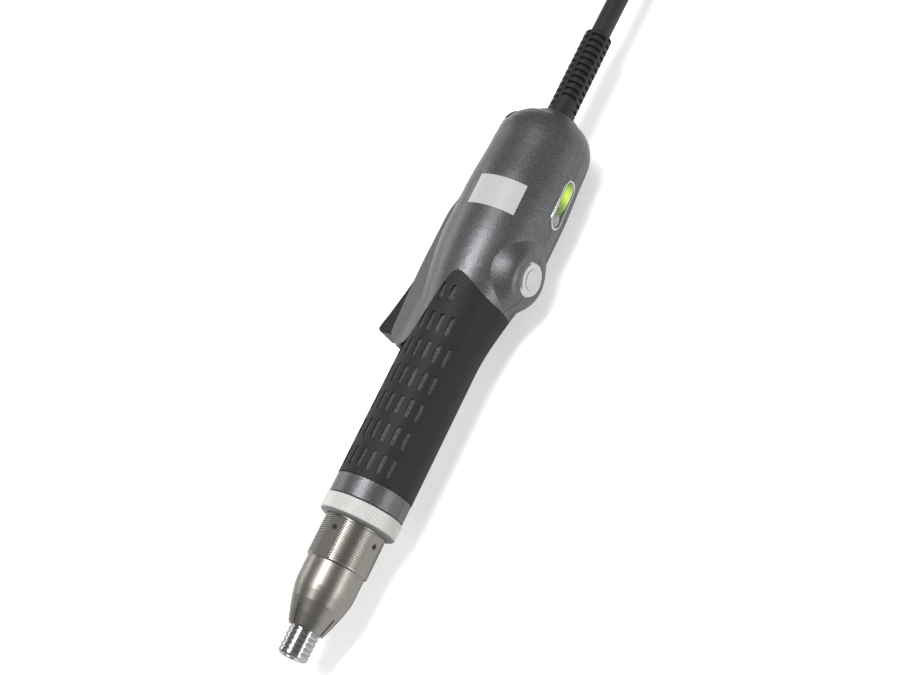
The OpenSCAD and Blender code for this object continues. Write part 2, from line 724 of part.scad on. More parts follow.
module stator() {
    color("peru") difference() {
        tube(stator_x, stator_end, motor_r - can_t, rotor_r + 0.4);
        around_axis(6) block([stator_x - 1, -0.8, rotor_r + 2], [stator_end + 1, 0.8, rotor_r + 3.6]);
    }
}
module motor_shaft() { color("silver") rod(gear_x - 1, shaft_end, shaft_r); }
module rotor_magnet() { color("dimgray") tube(stator_x + 1, stator_end - 1, rotor_r, shaft_r); }
module hall_board() {
    color("darkgreen") difference() {
        tube(motor_end + 5, motor_end + 5 + board_t, motor_r - 1.5, shaft_r + loose_gap);
        block([motor_end, -3, -20], [motor_end + 10, 3, -8]);
    }
}

// ---------- Electronics and start lever ----------

module control_board() {
    color("darkgreen") {
        block([196, -14.5, -8.4], [252, 7.5, -8.4 + board_t]);
        for (p = [[206, -8], [218, -6], [232, -7], [242, -2]])
            block([p[0] - 3.5, p[1] - 3, -8.4 + board_t], [p[0] + 3.5, p[1] + 3, -8.4 + board_t + 2.4]);
        for (p = [[214, 3], [226, 3]]) translate([p[0], p[1], -8.4 + board_t]) cylinder(h = 8, r = 3);
    }
}
plunger_x = 177;
plunger_r = 1.3;
plunger_top = channel_floor + 3.2;
switch_top = channel_floor - wall - 0.3;
module microswitch() {
    color([0.15, 0.15, 0.16]) difference() {
        block([plunger_x - 4.5, 5, -3.2], [plunger_x + 8.5, switch_top, 3.2]);
        post_y(plunger_x, 0, 6.5, 30, plunger_r + slide_gap);
    }
}
module switch_plunger() {
    color("firebrick") {
        post_y(plunger_x, 0, switch_top - 5, plunger_top - 0.6, plunger_r);
        post_y(plunger_x, 0, plunger_top - 0.6, plunger_top, plunger_r);
    }
}
module lever_pin() {
    color("silver") translate([pivot_x, pivot_y, -8.2]) cylinder(h = 16.4, r = pin_r);
}
nub_r = 2;
lever_spring_x = 190;
lever_tip_y = guard_top + 7.2;
function lever_outline() = concat(
    [for (a = [-90:30:60]) [pivot_x + 3.8 * cos(a), pivot_y + 3.8 * sin(a)]],
    [[pivot_x - 2, pivot_y + 3.8], [cover_x - 1, pivot_y + 4.4], [cover_x - 3.2, guard_top - 2.4],
     [191, guard_top - 0.1], [176, guard_top + 2.6], [163, guard_top + 5.4], [157.5, lever_tip_y - 0.3],
     [155.6, lever_tip_y], [154.3, lever_tip_y - 0.7], [153.6, lever_tip_y - 2.2],
     [153.8, guard_top - 1], [155, guard_top - 2.2], [160, guard_top - 3.4],
     [plunger_x, 23.2], [lever_spring_x + 3, 21.4], [pivot_x - 4, pivot_y - 3]]);
module start_lever() {
    color([0.1, 0.1, 0.11]) difference() {
        union() {
            translate([0, 0, -lever_half_w]) linear_extrude(2 * lever_half_w) polygon(lever_outline());
            block([plunger_x - nub_r, plunger_top + 0.05 + nub_r, -2], [plunger_x + nub_r, 24, 2]);
            translate([plunger_x, plunger_top + 0.05 + nub_r, -2]) cylinder(h = 4, r = nub_r);
        }
        translate([pivot_x, pivot_y, -10]) cylinder(h = 20, r = pin_r + run_gap);
        post_y(lever_spring_x, 0, 10, 24, 2.6);
    }
}
module lever_spring() {
    color("silver") translate([lever_spring_x, channel_floor, 0]) rotate([-90, 0, 0])
        coil_spring(24 - channel_floor - 0.1, 2, 0.3, 5);
}

// ---------- Cable entry and hanging ring ----------

boot_root_r = boot_r + 1.6;
boot_bore_r = cord_r + slide_gap;
boot_turn = 37;
slot_pitch = 3.6;
module cable_boot() {
    color([0.09, 0.09, 0.1]) rotate([boot_turn, 0, 0]) difference() {
        turned([[boot_bore_r, rear_x - wall - 3], [boot_root_r + 1.6, rear_x - wall - 3],
                [boot_root_r + 1.6, rear_x - wall - 1], [boot_root_r, rear_x - wall - 0.8],
                [boot_root_r, neck_end], [boot_r + 0.3, neck_end + 0.2], [boot_r + 0.3, neck_end + 8],
                [boot_r, boot_end - 1], [boot_r - 0.8, boot_end], [boot_bore_r, boot_end]]);
        for (i = [0:10]) for (s = [0, 180]) rotate([s, 0, 0])
            translate([boot_end - 3.4 - slot_pitch * i, 0, boot_r])
                cube([1.3, 7.6, 5.4], center = true);
        for (i = [0:12]) for (s = [90, 270]) rotate([s, 0, 0])
            translate([boot_end - 1.8 - slot_pitch * i, 0, boot_r])
                cube([1.3, 6.4, 2.6], center = true);
    }
}
module cable_lead() { color([0.08, 0.08, 0.09]) rod(248, boot_end, cord_r); }
clamp_x = 254;
module cable_clamp() {
    color("dimgray") difference() {
        block([clamp_x, -9, -9.4], [clamp_x + 5, 9, cord_r + 2]);
        rod(clamp_x - 1, clamp_x + 6, cord_r);
    }
}
eyelet_x = rear_x + 3.6;
eyelet_y = body_r - 5.9;
module eyelet_shape() {
    translate([eyelet_x, eyelet_y, -1]) cylinder(h = 2, r = 3);
    hull() {
        translate([eyelet_x - 1.6, eyelet_y - 0.6, 0]) cube([2, 2.4, 2], center = true);
        translate([eyelet_x - 13, eyelet_y - 3.4, 0]) cube([2, 2.4, 2], center = true);
    }
}
module hanger_eyelet() {
    color("silver") difference() {
        eyelet_shape();
        translate([eyelet_x, eyelet_y, -3]) cylinder(h = 6, r = 1.55);
    }
}
hang_wire_r = 0.55;
hang_lean = 18;
module hanger_ring() {
    color("silver") translate([eyelet_x, eyelet_y, 0]) rotate([0, 0, -hang_lean])
        translate([-hang_r, 0, 0]) rotate([90, 0, 0]) rotate_extrude() for (s = [-1, 1])
            translate([hang_r, s * hang_wire_r * 0.9]) circle(r = hang_wire_r, $fn = 20);
}

// ---------- Cord, hank and connector ----------

table_z = -body_r;
cord_d = 2 * cord_r;
hank_layers = 3;
hank_columns = 2;
hank_out = fold_r - cord_r + cord_d * hank_columns;
hank_in = fold_r - cord_r;
hank_x = boot_end + 106.4;
hank_top = table_z + cord_d * hank_layers;
lead_z = hank_top - cord_r;
lead_r = fold_r + cord_d;
// The lead turns off the axis here, to meet the outer turn
turn_off_x = hank_x - lead_r * sqrt(3);
plug_r = 9;
nut_r = 10.5;
plug_x = hank_x + 6;
plug_y = fold_r + cord_r;
plug_z = hank_top + nut_r;
// Route of the lead from the boot to the hank
function lead_route() = concat(
    [[boot_end, 0, 0], [boot_end + 12, 0, lead_z * 0.3], [turn_off_x - 6, 0, lead_z]],
    [for (a = [0:7.5:60]) [turn_off_x + lead_r * sin(a), lead_r * (1 - cos(a)), lead_z]]);
// Route of the tail over the top of the hank to the plug
function tail_route() = concat(
    [for (a = [160:-10:100]) [hank_x + plug_y * cos(a), plug_y * sin(a),
        hank_top + cord_r + (plug_z - hank_top - cord_r) * 0.75 * smooth((140 - a) / 45)]],
    [[plug_x - 2, plug_y, plug_z], [plug_x, plug_y, plug_z]]);
function circle_at(p, d, r, sides) =
    let (side = [-d[1], d[0], 0] / norm([d[0], d[1]]), up = cross(d, side) / norm(d))
    [for (j = [0:sides - 1]) let (a = -360 * j / sides) p + r * (cos(a) * side + sin(a) * up)];
function along(route) = [for (i = [0:len(route) - 1])
    let (a = route[max(0, i - 1)], b = route[min(len(route) - 1, i + 1)])
    circle_at(route[i], b - a, cord_r, 12)];
module cord() {
    color([0.08, 0.08, 0.09]) {
        difference() {
            swept(along(lead_route()));
            hank_block(hank_out);
        }
        swept(along(tail_route()));
    }
}
tie_w = 14;
tie_t = 1.2;
tie_x = hank_x + hank_run / 2;
module hank_block(r) {
    translate([hank_x, 0, table_z]) linear_extrude(cord_d * hank_layers) {
        circle(r = r);
        translate([hank_run, 0]) circle(r = r);
        translate([0, -r]) square([hank_run, 2 * r]);
    }
}
module cord_coil() {
    color([0.08, 0.08, 0.09]) difference() {
        hank_block(hank_out);
        translate([0, 0, -1]) translate([hank_x, 0, table_z])
            linear_extrude(cord_d * hank_layers + 2) {
                circle(r = hank_in);
                translate([hank_run, 0]) circle(r = hank_in);
                translate([0, -hank_in]) square([hank_run, 2 * hank_in]);
            }
        block([tie_x - tie_w / 2 - 0.2, -hank_out - 1, table_z - 1],
              [tie_x + tie_w / 2 + 0.2, 1 - hank_in, table_z + tie_t]);
    }
}
module cord_tie() {
    color([0.12, 0.12, 0.13]) difference() {
        block([tie_x - tie_w / 2, -hank_out - tie_t, table_z],
              [tie_x + tie_w / 2, tie_t - hank_in, hank_top + tie_t]);
        block([tie_x - tie_w, -hank_out, table_z + tie_t], [tie_x + tie_w, -hank_in, hank_top]);
    }
}
module on_plug(x) { translate([plug_x + x, plug_y, plug_z]) rotate([0, 90, 0]) children(); }
module connector_boot() {
    color([0.09, 0.09, 0.1]) on_plug(0) difference() {
        cylinder(h = 26, r1 = cord_r + 1.4, r2 = plug_r - 0.8);
        translate([0, 0, 6]) cylinder(h = 30, r = cord_r);
    }
}
module connector_shell() {
    color("silver") on_plug(26) rotate_extrude() polygon([
        [0, 0], [plug_r, 0], [plug_r, 12], [plug_r + 0.6, 12], [plug_r + 0.6, 13.5], [plug_r, 13.5],
        [plug_r, 22], [plug_r - 1.2, 22], [plug_r - 1.2, 16], [0, 16]]);
}
module connector_nut() {
    color("silver") on_plug(26 + 13.7) rotate_extrude() polygon([
        [plug_r + run_gap, 0], [nut_r - 0.5, 0], [nut_r, 0.5], [nut_r, 9.5], [nut_r - 0.5, 10],
        [plug_r + run_gap, 10]]);
}
pin_circle_r = 4.6;
module connector_pins() {
    color("gold") on_plug(26 + 16) {
        cylinder(h = 1, r = plug_r - 1.5);
        for (i = [0:5]) rotate([0, 0, 60 * i]) translate([pin_circle_r, 0, 0]) cylinder(h = 5.6, r = 0.7);
    }
}

housing_front();
housing_back();
grip_front();
grip_back();
housing_screws();
rating_plate();
indicator_lens();
green_led();
grey_led();
led_board();
button_bezel();
nose_housing();
nose_screws();
nose_seal();
cable_boot();
hanger_eyelet();
gear_case();
motor_can();
motor_end_cap();
stator();
hall_board();
spindle_bearings();
motor_bearings();
control_board();
microswitch();
lever_pin();
tact_switch();
cable_clamp();
cable_lead();
torque_ring();
spring_cup();
clutch_spring();
spindle();
chuck_collar();
chuck_spring();
chuck_balls();
chuck_clip();
clutch_plate();
clutch_balls();
planet_carrier();
planet_pins();
planet_gear_1();
planet_gear_2();
planet_gear_3();
motor_shaft();
rotor_magnet();
sun_gear();
start_lever();
switch_plunger();
lever_spring();
reverse_button();
button_spring();
hanger_ring();
cord();
cord_coil();
cord_tie();
connector_shell();
connector_nut();
connector_pins();
connector_boot();
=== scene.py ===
import math
import bmesh
import bpy
from mathutils import Matrix, Vector


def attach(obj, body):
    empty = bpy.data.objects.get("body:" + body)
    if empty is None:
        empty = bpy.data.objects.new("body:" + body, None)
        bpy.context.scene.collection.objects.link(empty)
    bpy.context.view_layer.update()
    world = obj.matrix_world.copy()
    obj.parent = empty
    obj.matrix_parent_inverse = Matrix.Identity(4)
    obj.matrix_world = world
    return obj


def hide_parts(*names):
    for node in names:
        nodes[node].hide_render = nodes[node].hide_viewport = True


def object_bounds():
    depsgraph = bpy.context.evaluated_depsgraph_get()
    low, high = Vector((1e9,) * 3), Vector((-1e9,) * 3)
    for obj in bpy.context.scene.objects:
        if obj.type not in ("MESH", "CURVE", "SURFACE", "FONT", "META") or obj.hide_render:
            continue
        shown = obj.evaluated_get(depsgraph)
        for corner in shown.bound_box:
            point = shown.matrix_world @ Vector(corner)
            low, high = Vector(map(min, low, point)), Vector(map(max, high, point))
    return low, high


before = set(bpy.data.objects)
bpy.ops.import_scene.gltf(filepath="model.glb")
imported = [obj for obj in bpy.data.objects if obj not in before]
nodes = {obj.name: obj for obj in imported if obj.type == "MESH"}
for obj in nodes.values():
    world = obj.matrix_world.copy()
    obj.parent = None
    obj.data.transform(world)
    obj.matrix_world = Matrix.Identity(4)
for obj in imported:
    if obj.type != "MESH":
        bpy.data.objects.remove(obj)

cad_low, cad_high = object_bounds()
MM = 0.001


# ---------------------------------------------------------------- Camera
# The view looks down on the front housing half from the button side, a little
# towards the nose, with the tool slanting up to the right.
GRIP_TO_SIDE = math.radians(52.5)
view_out = Vector((0, -math.cos(GRIP_TO_SIDE), math.sin(GRIP_TO_SIDE)))
eye = Vector((-35.5, 0, 0)) * MM + 664.7 * MM * view_out
aim = Vector((161.4, 0, 0)) * MM
forward = (aim - eye).normalized()
tool_up = (Vector((1, 0, 0)) - forward * forward.x).normalized()
tool_right = forward.cross(tool_up)
SLANT = math.radians(26.35)
right = math.cos(SLANT) * tool_right + math.sin(SLANT) * tool_up
up = math.cos(SLANT) * tool_up - math.sin(SLANT) * tool_right
camera_data = bpy.data.cameras.new("camera")
camera_data.lens = 60
camera_data.sensor_width = 36
camera_data.clip_start = 0.01
camera = bpy.data.objects.new("camera", camera_data)
camera.matrix_world = Matrix((
    (right.x, up.x, -forward.x, eye.x),
    (right.y, up.y, -forward.y, eye.y),
    (right.z, up.z, -forward.z, eye.z),
    (0, 0, 0, 1)))
bpy.context.scene.collection.objects.link(camera)
bpy.context.scene.camera = camera


# ---------------------------------------------------------------- Cord
# A round jacketed lead, 10 mm thick and 1.93 m long. It comes straight out of the
# boot and is wound into a tied hank of six turns, with its plug lying on top.
class Wire:
    """A shader socket that takes part in arithmetic."""

    def __init__(self, finish, socket):
        self.finish = finish
        self.socket = socket

    def _math(self, operation, *values):
        return self.finish.node("ShaderNodeMath", {"operation": operation}, dict(enumerate(values)))

    def __add__(self, other):
        return self._math("ADD", self, other)

    def __sub__(self, other):
        return self._math("SUBTRACT", self, other)

    def __rsub__(self, other):
        return self._math("SUBTRACT", other, self)

    def __mul__(self, other):
        return self._math("MULTIPLY", self, other)

    def above(self, level, softness):
        """0 below the level and 1 above it, with a soft step."""
        return self.finish.node("ShaderNodeMapRange", {"interpolation_type": "SMOOTHSTEP"}, {
            "Value": self, "From Min": level - softness, "From Max": level + softness})

class Finish:
    """One material: its shader, and a way to add nodes to it."""

    def __init__(self, name, **surface):
        self.material = bpy.data.materials.new(name)
        self.material.use_nodes = True
        self.tree = self.material.node_tree
        self.shader = self.tree.nodes["Principled BSDF"]
        self.at = Wire(self, self.tree.nodes.new("ShaderNodeTexCoord").outputs["Object"])
        self.set(**surface)

    def put(self, socket, value):
        if isinstance(value, Wire):
            self.tree.links.new(value.socket, socket)
        elif hasattr(value, "__len__") and len(value) == 3 and socket.type == "RGBA":
            socket.default_value = (*value, 1)
        else:
            socket.default_value = value

    def node(self, kind, settings, values, output=0):
        new = self.tree.nodes.new(kind)
        for key, value in settings.items():
            setattr(new, key, value)
        for key, value in values.items():
            self.put(new.inputs[key], value)
        return Wire(self, new.outputs[output])

    def set(self, **surface):
        for key, value in surface.items():
            self.put(self.shader.inputs[key.replace("_", " ").title().replace("Ior", "IOR")], value)

    def noise(self, scale, detail=2, stretch=(1, 1, 1)):
        place = self.node("ShaderNodeMapping", {}, {"Vector": self.at, "Scale": stretch})
        return self.node("ShaderNodeTexNoise", {}, {"Vector": place, "Scale": scale, "Detail": detail})

    def mix(self, share, low, high):
        """A colour between low and high, by share."""
        new = self.tree.nodes.new("ShaderNodeMix")
        new.data_type = "RGBA"
        self.put(new.inputs[0], share)
        self.put(new.inputs[6], low)
        self.put(new.inputs[7], high)
        return Wire(self, new.outputs[2])

    def bump(self, height, depth, strength=1.0):
        """Raise the surface by height, times depth in metres."""
        self.set(normal=self.node("ShaderNodeBump", {}, {
            "Height": height, "Distance": depth, "Strength": strength}))


def dress(finish, *names):
    """Give CAD nodes or new pieces one material."""
    for name in names:
        piece = nodes[name] if isinstance(name, str) else name
        piece.data.materials.clear()
        piece.data.materials.append(finish.material)


def mesh_object(name, points, faces, finish, smooth=40):
    """A new piece from points in metres. Edges sharper than smooth degrees stay crisp."""
    mesh = bpy.data.meshes.new(name)
    mesh.from_pydata([tuple(p) for p in points], [], faces)
    mesh.materials.append(finish.material)
    piece = bpy.data.objects.new(name, mesh)
    bpy.context.scene.collection.objects.link(piece)
    soften(piece, smooth)
    return piece


def soften(piece, degrees):
    """Merge doubles, turn the faces outwards and shade smooth up to an angle."""
    work = bmesh.new()
    work.from_mesh(piece.data)
    bmesh.ops.remove_doubles(work, verts=work.verts, dist=1e-7)
    bmesh.ops.recalc_face_normals(work, faces=work.faces)
    for face in work.faces:
        face.smooth = True
    for edge in work.edges:
        edge.smooth = not (edge.is_manifold and edge.calc_face_angle(0) > math.radians(degrees))
    work.to_mesh(piece.data)
    work.free()


CORD_R = 5 * MM
TABLE_Z = cad_low.z
FOLD = Vector((441, 0))
RUN = 40
TURNS = [(40, -0.5), (40, -10.5), (40, -20.5), (30, -20.5), (30, -10.5), (30, -0.5), (35, 9.5)]


def hank_point(share, radius):
    """A point of a flat turn, clockwise from where the hank's near end stands farthest out."""
    fold = math.pi * radius
    along = share * (2 * fold + 2 * RUN)
    if along < fold / 2:
        a = math.pi - along / radius
        return FOLD.x + radius * math.cos(a), radius * math.sin(a)
    along -= fold / 2
    if along < RUN:
        return FOLD.x + along, radius
    along -= RUN
    if along < fold:
        a = math.pi / 2 - along / radius
        return FOLD.x + RUN + radius * math.cos(a), radius * math.sin(a)
    along -= fold
    if along < RUN:
        return FOLD.x + RUN - along, -radius
    a = -math.pi / 2 - (along - RUN) / radius
    return FOLD.x + radius * math.cos(a), radius * math.sin(a)


cord_line = [(334.6, 0, 0), (346.6, 0, -0.15), (365.7, 0, -0.5)]
turn_off = FOLD.x - 40 * math.sqrt(3)
cord_line += [(turn_off + 40 * math.sin(math.radians(6 * i)), 40 - 40 * math.cos(math.radians(6 * i)), -0.5)
              for i in range(10)]
for turn in range(6):
    for i in range(48):
        share = i / 48
        if turn == 0 and share < 0.065:
            continue
        shift = max(0.0, min(1.0, (share - 0.8) / 0.2))
        shift = shift * shift * (3 - 2 * shift)
        radius = TURNS[turn][0] + (TURNS[turn + 1][0] - TURNS[turn][0]) * shift
        level = TURNS[turn][1] + (TURNS[turn + 1][1] - TURNS[turn][1]) * shift
        cord_line.append((*hank_point(share, radius), level))
for a in range(175, 95, -7):
    rise = max(0.0, min(1.0, (140 - a) / 45))
    cord_line.append((FOLD.x + 35 * math.cos(math.radians(a)), 35 * math.sin(math.radians(a)),
                      9.5 + 5.5 * 0.75 * rise * rise * (3 - 2 * rise)))
cord_line += [(445, 35, 15), (447, 35, 15), (453, 35, 15)]
cord_line = [Vector(p) * MM for p in cord_line]


def band_faces(rings, count, closed=True):
    """Faces between rings of points, joined end to start or with a flat cap at both ends."""
    faces = [(i * count + k, i * count + (k + 1) % count,
              (i + 1) % rings * count + (k + 1) % count, (i + 1) % rings * count + k)
             for i in range(rings if closed else rings - 1) for k in range(count)]
    if not closed:
        last = (rings - 1) * count
        faces += [tuple(range(count - 1, -1, -1)), tuple(range(last, last + count))]
    return faces


def tube_along(line, radius, sides):
    """Rings of points round a line, with one steady upward side, and the faces between them."""
    points = []
    for i, at in enumerate(line):
        ahead = (line[min(i + 1, len(line) - 1)] - line[max(i - 1, 0)]).normalized()
        side = ahead.cross(Vector((0, 0, 1))).normalized()
        over = side.cross(ahead)
        for k in range(sides):
            a = 2 * math.pi * k / sides
            points.append(at + radius * (math.cos(a) * side + math.sin(a) * over))
    return points, band_faces(len(line), sides, closed=False)


cable_jacket = Finish("cable_jacket", roughness=0.52, specular_ior_level=0.4)
jacket_grain = cable_jacket.noise(900, 3)
cable_jacket.set(base_color=cable_jacket.mix(jacket_grain, (0.012, 0.012, 0.013), (0.03, 0.03, 0.032)))
cable_jacket.bump(jacket_grain, 0.00006, 0.6)
cord = mesh_object("lead", *tube_along(cord_line, CORD_R, 20), cable_jacket)
cord_length = sum((b - a).length for a, b in zip(cord_line, cord_line[1:]))
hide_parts("cord", "cord_coil")
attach(cord, "root")
dress(cable_jacket, "cable_lead")


# ---------------------------------------------------------------- Plain finishes of the small parts
# Ground steel, chrome, brass, moulded plastic and laminate, as the inner parts have them.
def metal(name, colour, roughness, grain=0.0, streak=(1, 1, 1)):
    """A bare metal with a fine machining grain."""
    finish = Finish(name, metallic=1.0, roughness=roughness)
    marks = finish.noise(1500, 3, streak)
    finish.set(base_color=finish.mix(marks, tuple(0.85 * c for c in colour), colour))
    finish.set(roughness=marks * 0.15 + (roughness - 0.07))
    if grain:
        finish.bump(marks, grain)
    return finish


def moulding(name, colour, roughness, grain=0.00002):
    """A moulded plastic or rubber with a fine skin."""
    finish = Finish(name, roughness=roughness, specular_ior_level=0.4)
    skin = finish.noise(1800, 2)
    finish.set(base_color=finish.mix(skin, tuple(0.8 * c for c in colour), tuple(1.15 * c for c in colour)))
    finish.bump(skin, grain)
    return finish


ground_steel = metal("ground_steel", (0.62, 0.62, 0.63), 0.28, 0.000004, (0.1, 1, 1))
black_screw_steel = metal("black_screw_steel", (0.16, 0.16, 0.17), 0.35)
polished_chrome = metal("polished_chrome", (0.42, 0.42, 0.43), 0.18)
cut_brass = metal("cut_brass", (0.72, 0.55, 0.25), 0.3)
cast_alloy = metal("cast_alloy", (0.5, 0.5, 0.52), 0.45, 0.00002)
black_plastic = moulding("black_plastic", (0.025, 0.025, 0.027), 0.45)
red_plastic = moulding("red_plastic", (0.5, 0.04, 0.03), 0.4)
green_laminate = moulding("green_laminate", (0.02, 0.13, 0.05), 0.35)
wound_copper = metal("wound_copper", (0.6, 0.32, 0.18), 0.4, 0.00004, (0.05, 1, 1))
dark_magnet = moulding("dark_magnet", (0.09, 0.09, 0.1), 0.4)
felt = moulding("felt", (0.5, 0.42, 0.3), 0.95, 0.0001)
dress(ground_steel, "spindle", "planet_carrier", "planet_pins", "clutch_plate", "spring_cup", "motor_shaft",
      "spindle_bearings", "motor_bearings", "chuck_balls", "clutch_balls", "motor_can", "lever_pin",
      "clutch_spring", "lever_spring", "button_spring", "chuck_spring")
dress(black_screw_steel, "housing_screws", "nose_screws", "chuck_clip")
dress(polished_chrome, "chuck_collar", "hanger_eyelet", "hanger_ring", "connector_shell", "connector_nut")
dress(cut_brass, "planet_gear_1", "planet_gear_2", "planet_gear_3", "sun_gear", "connector_pins")
dress(cast_alloy, "gear_case")
dress(black_plastic, "motor_end_cap", "microswitch", "tact_switch", "cable_clamp", "cord_tie", "start_lever")
dress(red_plastic, "switch_plunger")
dress(green_laminate, "led_board", "hall_board", "control_board")
dress(wound_copper, "stator")
dress(dark_magnet, "rotor_magnet")
dress(felt, "nose_seal")

# ---------------------------------------------------------------- Nose and chuck
# A satin, warm grey turned nose with fine ring grooves, and the bright chuck sleeve
# in front of it. Turned on a lathe, so fine tool marks run round them.
nose_metal = Finish("nose_metal", metallic=1.0, roughness=0.36)
turning = nose_metal.noise(500, 3, (8, 1, 1))
nose_metal.set(base_color=nose_metal.mix(turning, (0.2, 0.19, 0.172), (0.31, 0.295, 0.27)))
nose_metal.set(roughness=turning * 0.18 + 0.27)
nose_metal.bump(turning, 0.00001)
dress(nose_metal, "nose_housing")


# ---------------------------------------------------------------- Torque ring
# The near-white ring that sets the torque: moulded, with fine lengthwise ribs to
# grip. Its nose-side bevel and end face take a grey that is painted shade.
def lathe(name, profile, finish, ribs, rib_depth, smooth):
    """A closed ring turned about the tool's axis from (radius, station) points in millimetres.
    A third value of 1 marks a point that the lengthwise ribs cut into."""
    count = ribs * 4
    points, faces = [], []
    for k in range(count):
        a = 2 * math.pi * k / count
        for r, x, *cut in profile:
            r = r - (rib_depth if cut and cut[0] and k % 4 >= 2 else 0)
            points.append((x * MM, r * math.cos(a) * MM, r * math.sin(a) * MM))
    n = len(profile)
    for k in range(count):
        for j in range(n):
            faces.append((k * n + j, k * n + (j + 1) % n,
                          (k + 1) % count * n + (j + 1) % n, (k + 1) % count * n + j))
    return mesh_object(name, points, faces, finish, smooth)


ring_white = moulding("ring_white", (0.62, 0.62, 0.6), 0.42)
ring_painted_shade = moulding("ring_painted_shade", (0.2, 0.2, 0.21), 0.4)
white_ring = lathe("white_ring", [
    (12.6, 64.8), (12.6, 63.6), (16.2, 63.6), (17.7, 64.3), (18.1, 64.9), (18.4, 65.2, 1),
    (18.4, 71.9, 1), (18.0, 72.35), (12.6, 72.35), (12.6, 71.3), (15.1, 71.3), (15.1, 64.8)],
    ring_white, ribs=110, rib_depth=0.28, smooth=25)
# The nose-side faces get a darker grey copy of the ring's own white plastic: painted shade where that face turns away
# from the light.
white_ring.data.materials.append(ring_painted_shade.material)
for face in white_ring.data.polygons:
    if face.center.x < 64.95 * MM:
        face.material_index = 1
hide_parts("torque_ring")
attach(white_ring, "torque_ring")


# ---------------------------------------------------------------- Housing
# Two moulded halves of glass-filled plastic with a fine metallic grey texture.
housing_paint = Finish("housing_paint", roughness=0.33, metallic=0.65)
flakes = housing_paint.noise(3400, 2)
grain = housing_paint.noise(1700, 3)
height_z = housing_paint.node("ShaderNodeSeparateXYZ", {}, {"Vector": housing_paint.at}, 2)
off_seam = flakes._math("ABSOLUTE", height_z).above(0.16 * MM, 0.06 * MM)
speckled = housing_paint.mix(flakes.above(0.56, 0.08), (0.085, 0.088, 0.092), (0.2, 0.203, 0.21))
housing_paint.set(base_color=housing_paint.mix(off_seam, (0.012, 0.012, 0.013), speckled))
housing_paint.set(roughness=flakes * 0.2 + 0.25)
housing_paint.bump(grain, 0.00012, 0.9)
dress(housing_paint, "housing_front", "housing_back")

# ---------------------------------------------------------------- Grip
# Soft charcoal rubber moulded over the front of the housing, with rows of pockets.
grip_rubber = Finish("grip_rubber", roughness=0.58, specular_ior_level=0.24)
skin = grip_rubber.noise(1500, 3)
along_x, across_y, across_z = (grip_rubber.node("ShaderNodeSeparateXYZ", {}, {"Vector": grip_rubber.at}, i)
                               for i in range(3))
radius = skin._math("SQRT", across_y * across_y + across_z * across_z)
surface = grip_rubber.node("ShaderNodeMapRange", {"interpolation_type": "SMOOTHSTEP"}, {
    "Value": along_x, "From Min": 150 * MM, "From Max": 212 * MM, "To Min": 18.2 * MM, "To Max": 25.5 * MM})
in_pocket = (surface - radius).above(0.4 * MM, 0.1 * MM)
plain_rubber = grip_rubber.mix(skin, (0.010, 0.010, 0.011), (0.024, 0.024, 0.026))
pocket_floor = grip_rubber.mix(skin.above(0.5, 0.1), (0.04, 0.04, 0.041), (0.1, 0.1, 0.102))
grip_rubber.set(base_color=grip_rubber.mix(in_pocket, plain_rubber, pocket_floor))
grip_rubber.bump(skin, 0.00006, 0.8)
dress(grip_rubber, "grip_front", "grip_back")

# ---------------------------------------------------------------- Button
# A bright satin bezel, pressed in, round a slightly domed button of the same metal.
# The housing swells softly up to the bezel, and the start lever opposite is black.
bezel_silver = metal("bezel_silver", (0.6, 0.6, 0.61), 0.28)
dress(bezel_silver, "button_bezel", "reverse_button")
BUTTON_X = 198.3
BOSS_TOP = 27.0
BOSS_INNER_R = 8.6
BOSS_FLAT_R = 10.7
BOSS_OUTER_R = 19
BOSS_SINK_R = 14.5
BOSS_POINTS = 72


def housing_radius(x):
    """Radius of the plain body of the housing, in millimetres."""
    def ease(t):
        t = max(0.0, min(1.0, t))
        return t * t * (3 - 2 * t)
    return 18.2 + 7.3 * ease((x - 150) / 62) - 1.5 * ease((x - 232) / 32)


# The shell swells softly round the bezel instead of ending in a step.
def boss_ring(reach, lift):
    """Points of the swelling at one distance from the button's axis."""
    fade = 1 - max(0.0, min(1.0, (reach - BOSS_FLAT_R) / (BOSS_OUTER_R - BOSS_FLAT_R)))
    fade = fade * fade * (3 - 2 * fade)
    ring = []
    for k in range(BOSS_POINTS):
        a = 2 * math.pi * k / BOSS_POINTS
        x, z = BUTTON_X + reach * math.cos(a), reach * math.sin(a)
        shell = math.sqrt(housing_radius(x) ** 2 - z * z)
        ring.append((x, -(shell + (BOSS_TOP - shell) * fade + lift), z))
    return ring


boss_reaches = (BOSS_INNER_R, 9.6, BOSS_FLAT_R, 11.4, 12.2, 13, 13.8, 14.6, 15.4, 16.2, 17, 17.8, 18.5, BOSS_OUTER_R)
boss_outline = [boss_ring(r, 0.03 - 0.12 * max(0.0, r - BOSS_SINK_R)) for r in boss_reaches]
boss_outline += [boss_ring(BOSS_OUTER_R, -1.2), boss_ring(14, -1.6), boss_ring(BOSS_INNER_R, -1.2)]
boss_points = [Vector(p) * MM for ring in boss_outline for p in ring]
button_swell = mesh_object("button_swell", boss_points, band_faces(len(boss_outline), BOSS_POINTS), housing_paint, 50)
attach(button_swell, "root")
lever_black = moulding("lever_black", (0.012, 0.012, 0.013), 0.42, 0.00004)
dress(lever_black, "start_lever")

# ---------------------------------------------------------------- Boot
# Soft black rubber, built straight here, that in use bends with the cord. Its slots are moulded right through.
boot_rubber = moulding("boot_rubber", (0.016, 0.016, 0.017), 0.5, 0.00004)
dress(boot_rubber, "connector_boot")
SLOT_PITCH = 3.6
BOOT_END = 334.6
BOOT_ROOT = 277.0


